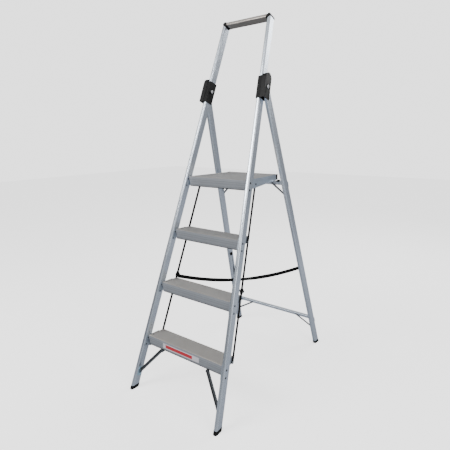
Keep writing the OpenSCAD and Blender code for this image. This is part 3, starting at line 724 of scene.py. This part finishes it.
# ---------- fascias: three fine beads and a dark lower edge ----------
FASCIA_Y = -NOSE_AHEAD - PIVOT_BACK
BEAD_DROPS = (0.0165, 0.0285, 0.0405)
BEAD_R = 0.0009
# Below this drop the fascia's ends are cut back, so that the tie links fit when folded
NOTCH_DROP = 0.025
# How far inboard of the stiles' centre lines the fascias end
TREAD_IN = 0.0142
PLATFORM_IN = 0.0136


def fascia_half(z, at_in, drop):
    """Half the fascia's length at this drop below the tread's top, less a millimetre of clearance."""
    inset = END_IN if drop > NOTCH_DROP else at_in
    return stile_x(pivot_u(z)) - inset - TAPER * FASCIA_Y - 0.001


def fascia_beads(z, at_in):
    def build(bm):
        for drop in BEAD_DROPS:
            half = fascia_half(z, at_in, drop)
            place = tread_frame(z) @ move(-half, FASCIA_Y + BEAD_R * 0.5, PIVOT_DROP - drop) @ facing_x(1)
            add_lathe(bm, [(BEAD_R, 0), (BEAD_R, 2 * half)], place, 12)
    return build


def fascia_edge(z, at_in):
    def build(bm):
        half = fascia_half(z, at_in, FASCIA_H)
        bottom = PIVOT_DROP - FASCIA_H
        add_block(bm, tread_frame(z), (-half, FASCIA_Y - 0.0005, bottom - 0.0004),
                  (half, FASCIA_Y + 0.0055, bottom + 0.0028), 0.0004)
    return build


for body, top, inset in (("lower_step", TREAD_TOPS[0], TREAD_IN), ("middle_step", TREAD_TOPS[1], TREAD_IN),
                         ("upper_step", TREAD_TOPS[2], TREAD_IN), ("platform", PLATFORM_TOP, PLATFORM_IN)):
    smooth(piece(body + "_fascia_beads", fascia_beads(top, inset), body, "fascia"))
    piece(body + "_fascia_edge", fascia_edge(top, inset), body, "plastic")

# ---------- platform's flanges: moulded caps at the rear, and the tie links' rivets ----------
CAP_RUN = 0.017
CAP_T = 0.0011
CAP_REAR = PLATFORM_D - NOSE_AHEAD - PIVOT_BACK - 0.0035
# A cap's upright and level leaf: how far in it starts, and its lower and upper side from the deck's top
CAP_LEAVES = ((0.0008, -0.0275, 0.0004), (0.013, -0.0008, 0.0008))


def flange_frame(side):
    """The outer face of a side flange, with its origin at the platform's pivot."""
    outer = stile_x(pivot_u(PLATFORM_TOP)) - FLANGE_IN
    return tread_frame(PLATFORM_TOP) @ move(side * outer, 0, 0) @ turn(side * TAPER_ANGLE, "Z")


def build_rear_caps(bm):
    for side in (-1, 1):
        for inward, bottom, top in CAP_LEAVES:
            low, high = sorted((side * -inward, side * CAP_T))
            add_block(bm, flange_frame(side), (low, CAP_REAR - CAP_RUN, PIVOT_DROP + bottom),
                      (high, CAP_REAR, PIVOT_DROP + top), 0.0004)


def build_link_rivets(bm):
    """Dark rivet heads on the flanges' outer faces, where the tie links hang."""
    for side in (-1, 1):
        place = flange_frame(side) @ move(0, LINK_BACK, -LINK_DROP) @ facing_x(side)
        add_lathe(bm, dome(0.0055, 0.0013), place)


piece("platform_rear_caps", build_rear_caps, "platform", "plastic")
smooth(piece("platform_link_rivets", build_link_rivets, "platform", "rivet"))

# ---------- webbing straps ----------
STRAP_W = 0.020
STRAP_T = 0.0018
# How far the band turns from upright at the middle of its run, and at its ends
STRAP_FLAT_ROLL = math.radians(62)
STRAP_END_ROLL = 0.15
# The band's cross-section, as shares of its width and thickness
STRAP_PROFILE = [(-0.5, -0.3), (-0.47, -0.5), (0.47, -0.5), (0.5, -0.3),
                 (0.5, 0.3), (0.47, 0.5), (-0.47, 0.5), (-0.5, 0.3)]
# The anchor plates' distance down the rear legs, and the loops' height up the tie links
STRAP_LEG_V = 1.086
LOOP_UP = LINK_RUN / 3 + 0.050
LOOP_T = 0.0020
LINK_W = 0.014
# Bottom, top, swell and rearward bulge of each turn of webbing round a tie link
LOOP_TURNS = ((-0.0140, -0.0062, 0.0, 0.0), (-0.0060, 0.0060, 0.0010, 0.009),
              (0.0062, 0.0140, 0.0, 0.002))
LOOP_ROUNDING = 0.0012
LOOP_END_DROP = 0.010
LOOP_END_IN = 0.0015
ANCHOR_T = 0.0015
ANCHOR_GAP = 0.0006
# Where the right strap leaves its anchor plate
ANCHOR = Vector((leg_x(STRAP_LEG_V) - TUBE_W / 2 - ANCHOR_T - ANCHOR_GAP,
                 HINGE_Y + STRAP_LEG_V * math.sin(LEG_LEAN) - Y_SHIFT,
                 HINGE_Z - STRAP_LEG_V * math.cos(LEG_LEAN)))
LOOP_U = LINK_U0 + LOOP_UP
# Where the right loop takes the end of the left leg's strap, below the loop's middle
LOOP = Vector((LINK_X0 - TAPER * LOOP_UP - LINK_T - LOOP_T,
               LOOP_U * math.sin(STILE_LEAN) + LINK_BEHIND * math.cos(STILE_LEAN) - Y_SHIFT,
               LOOP_U * math.cos(STILE_LEAN) - LINK_BEHIND * math.sin(STILE_LEAN) - LOOP_END_DROP))


def strap_route(from_side, sag, steps=48):
    """Centre line from the rear leg on from_side to the tie link on the other side."""
    end = Vector((-LOOP.x + LOOP_END_IN, LOOP.y, LOOP.z))
    points = []
    for k in range(steps + 1):
        t = k / steps
        point = ANCHOR.lerp(end, t)
        point.z -= 4 * sag * t * (1 - t)
        points.append(Vector((from_side * point.x, point.y, point.z)))
    return points


def strap_builder(route):
    """A flat band that stands nearly on edge at both ends and leans over in the middle of its run."""
    def build(bm):
        uv = bm.loops.layers.uv.new("UVMap")
        rings, distance, lengths = [], 0.0, []
        for k, point in enumerate(route):
            ahead = route[min(k + 1, len(route) - 1)] - route[max(k - 1, 0)]
            tangent = ahead.normalized()
            t = k / (len(route) - 1)
            level = tangent.cross(Vector((0, 0, 1))).normalized()
            upright = level.cross(tangent).normalized()
            flat = (0.5 - 0.5 * math.cos(2 * math.pi * t)) ** 3
            roll = STRAP_END_ROLL + (STRAP_FLAT_ROLL - STRAP_END_ROLL) * flat
            width = upright * math.cos(roll) + level * math.sin(roll)
            thick = tangent.cross(width).normalized()
            rings.append([bm.verts.new(point + width * (a * STRAP_W) + thick * (b * STRAP_T))
                          for a, b in STRAP_PROFILE])
            if k:
                distance += (point - route[k - 1]).length
            lengths.append(distance)
        for k in range(len(rings) - 1):
            for j, (across, _) in enumerate(STRAP_PROFILE):
                n = (j + 1) % len(STRAP_PROFILE)
                next_across = STRAP_PROFILE[n][0]
                face = bm.faces.new([rings[k][j], rings[k][n], rings[k + 1][n], rings[k + 1][j]])
                corners = [(lengths[k], across), (lengths[k], next_across),
                           (lengths[k + 1], next_across), (lengths[k + 1], across)]
                for loop, (a, b) in zip(face.loops, corners):
                    loop[uv].uv = (a, b * STRAP_W)
        bm.faces.new(rings[0])
        bm.faces.new(rings[-1])
    return build


for name, from_side, sag in (("falling_strap", 1, 0.050), ("rising_strap", -1, 0.042)):
    route = strap_route(from_side, sag)
    strap = piece(name + "_webbing", strap_builder(route), "rear_frame", "webbing")
    smooth(strap, 50)
    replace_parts(strap, name)
    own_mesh(strap)


def loop_builder(side):
    """Three turns of webbing round the tie link, the middle one lying over the others."""
    def build(bm):
        uv = bm.loops.layers.uv.new("UVMap")
        place = link_frame(side) @ move(-side * LINK_T / 2, 0, LOOP_UP)
        for low, high, swell, bulge in LOOP_TURNS:
            outer = [(x, y + bulge / 2) for x, y in rounded_outline(
                LINK_T + 2 * LOOP_T + 2 * swell, LINK_W + 0.006 + 2 * swell + bulge, 0.0026)]
            bore = rounded_outline(LINK_T + 0.0006, LINK_W + 0.0006, 0.0004)
            ring_specs = [(bore, low + 0.0002, 1), (outer, low, 0.93), (outer, low + LOOP_ROUNDING, 1),
                          (outer, high - LOOP_ROUNDING, 1), (outer, high, 0.93), (bore, high - 0.0002, 1)]
            rings = [[bm.verts.new(place @ Vector((x * scale, y * scale, z))) for x, y in outline]
                     for outline, z, scale in ring_specs]
            rings.append(rings[0])
            count = len(outer)
            for a, b in zip(rings, rings[1:]):
                for k in range(count):
                    face = bm.faces.new([a[k], a[(k + 1) % count], b[(k + 1) % count], b[k]])
                    for loop in face.loops:
                        local = place.inverted() @ loop.vert.co
                        loop[uv].uv = (local.x + local.y, local.z)
    return build


for side_name, sign in (("left", -1), ("right", 1)):
    knot = piece(side_name + "_loop_webbing", loop_builder(sign), "tie_links", "webbing")
    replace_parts(smooth(knot, 50), side_name + "_strap_loop")


def anchor_rivets(bm):
    """Two flat heads on each anchor plate."""
    down = STRAP_LEG_V / math.cos(TAPER_ANGLE)
    for side in (-1, 1):
        place = leg_frame(side) @ move(-side * (TUBE_W / 2 + ANCHOR_T), 0, -down)
        for depth in (-0.008, 0.008):
            add_lathe(bm, dome(0.0022, 0.0003, 0.0005), place @ move(0, depth, 0.006) @ facing_x(-side), 20)


smooth(piece("anchor_rivet_heads", anchor_rivets, "rear_frame", "dark_steel"))

# ---------- floor, light and camera ----------
FLOOR_HALF = 12.0
# How brightly the camera sees the floor's own glow and the surroundings
FLOOR_GLOW = 1.5
BACKDROP_STRENGTH = 2.3
# To the ladder's metal the floor runs from dark at the first of these places across to pale at the second
FLOOR_SHADE_X = (-5.0, 2.0)
FLOOR_SHADES = ((0.05, 0.055, 0.06), (0.44, 0.46, 0.50))
# Strength of the surroundings to the metal, from the left to the right
SIDE_STRENGTHS = (0.2, 1.35)


def add_floor():
    """A white floor to the camera; to light and reflections it darkens towards the left."""
    mesh = bpy.data.meshes.new("floor")
    half = FLOOR_HALF
    corners = [(-half, -half, 0), (half, -half, 0), (half, half, 0), (-half, half, 0)]
    mesh.from_pydata(corners, [], [(0, 1, 2, 3)])
    floor = bpy.data.objects.new("floor", mesh)
    bpy.context.scene.collection.objects.link(floor)
    mat, tree, shader = new_material("floor_pale", (0.93, 0.93, 0.93), 0.0, 0.9)
    path = node(tree, "ShaderNodeLightPath")
    speckle = noise(tree, grain_coordinates(tree, (0, 0, 1), 40, 40), 2.0)
    pale = tinted(tree, speckle, (0.92, 0.92, 0.92), (0.94, 0.94, 0.94))
    seen = node(tree, "ShaderNodeMix", data_type="RGBA")
    parts = node(tree, "ShaderNodeSeparateXYZ")
    tree.links.new(node(tree, "ShaderNodeTexCoord").outputs["Object"], parts.inputs[0])
    across = to_range(tree, parts.outputs["X"], 0.0, 1.0, *FLOOR_SHADE_X)
    tree.links.new(tinted(tree, across, *FLOOR_SHADES), seen.inputs[6])
    tree.links.new(path.outputs["Is Camera Ray"], seen.inputs[0])
    tree.links.new(pale, seen.inputs[7])
    tree.links.new(seen.outputs[2], shader.inputs["Base Color"])
    shader.inputs["Emission Color"].default_value = (1, 1, 1, 1)
    glow = to_range(tree, path.outputs["Is Camera Ray"], 0.0, FLOOR_GLOW)
    tree.links.new(glow, shader.inputs["Emission Strength"])
    floor.data.materials.append(mat)


def add_world():
    """White to the camera; to reflections, grey near the horizon and bright overhead."""
    world = bpy.data.worlds.new("studio")
    bpy.context.scene.world = world
    world.use_nodes = True
    tree = world.node_tree
    texture = node(tree, "ShaderNodeTexCoord")
    parts = node(tree, "ShaderNodeSeparateXYZ")
    tree.links.new(texture.outputs["Generated"], parts.inputs[0])
    ramp = node(tree, "ShaderNodeValToRGB")
    stops = ramp.color_ramp.elements
    stops[0].position, stops[0].color = 0.42, (0.10, 0.105, 0.115, 1)
    stops[1].position, stops[1].color = 0.95, (1.0, 1.0, 1.0, 1)
    tree.links.new(to_range(tree, parts.outputs["Z"], 0.0, 1.0, -1.0), ramp.inputs["Fac"])
    lit = tree.nodes["Background"]
    side = to_range(tree, parts.outputs["X"], *SIDE_STRENGTHS, -1.0)
    tree.links.new(side, lit.inputs["Strength"])
    tree.links.new(ramp.outputs["Color"], lit.inputs["Color"])
    seen = node(tree, "ShaderNodeBackground")
    seen.inputs["Color"].default_value = (1, 1, 1, 1)
    seen.inputs["Strength"].default_value = BACKDROP_STRENGTH
    path = node(tree, "ShaderNodeLightPath")
    mix = node(tree, "ShaderNodeMixShader")
    tree.links.new(path.outputs["Is Camera Ray"], mix.inputs["Fac"])
    tree.links.new(lit.outputs["Background"], mix.inputs[1])
    tree.links.new(seen.outputs["Background"], mix.inputs[2])
    tree.links.new(mix.outputs[0], tree.nodes["World Output"].inputs["Surface"])


def add_area(name, position, target, width, height, power):
    """A soft rectangular light that points at target."""
    light = bpy.data.lights.new(name, "AREA")
    light.shape = "RECTANGLE"
    light.size, light.size_y, light.energy = width, height, power
    obj = bpy.data.objects.new(name, light)
    obj.location = position
    obj.rotation_euler = (Vector(target) - Vector(position)).to_track_quat("-Z", "Y").to_euler()
    bpy.context.scene.collection.objects.link(obj)


CAMERA_AT = Vector((1.28145, -1.769838, 1.35632))
CAMERA_YAW = math.radians(36.93)
CAMERA_PITCH = math.radians(-12.68)
CAMERA_ROLL = math.radians(-0.52)
CAMERA_LENS = 31.428
SENSOR_WIDTH = 36.0


def add_camera():
    ahead = Vector((-math.sin(CAMERA_YAW) * math.cos(CAMERA_PITCH),
                    math.cos(CAMERA_YAW) * math.cos(CAMERA_PITCH), math.sin(CAMERA_PITCH)))
    right = Vector((math.cos(CAMERA_YAW), math.sin(CAMERA_YAW), 0))
    up = right.cross(ahead)
    right_rolled = right * math.cos(CAMERA_ROLL) + up * math.sin(CAMERA_ROLL)
    up_rolled = -right * math.sin(CAMERA_ROLL) + up * math.cos(CAMERA_ROLL)
    data = bpy.data.cameras.new("camera")
    data.lens = CAMERA_LENS
    data.sensor_width = SENSOR_WIDTH
    camera = bpy.data.objects.new("camera", data)
    axes = Matrix((right_rolled, up_rolled, -ahead)).transposed()
    camera.matrix_world = Matrix.Translation(CAMERA_AT) @ axes.to_4x4()
    bpy.context.scene.collection.objects.link(camera)
    bpy.context.scene.camera = camera


add_floor()
add_world()
add_area("key", (-1.6, -3.2, 3.4), (0, 0, 0.9), 1.8, 1.8, 115)
add_area("fill", (3.4, -1.2, 2.0), (0, 0, 0.8), 1.6, 2.4, 36)
add_area("back", (0.8, 3.2, 3.0), (0, 0.2, 0.9), 2.0, 1.4, 55)
add_camera()
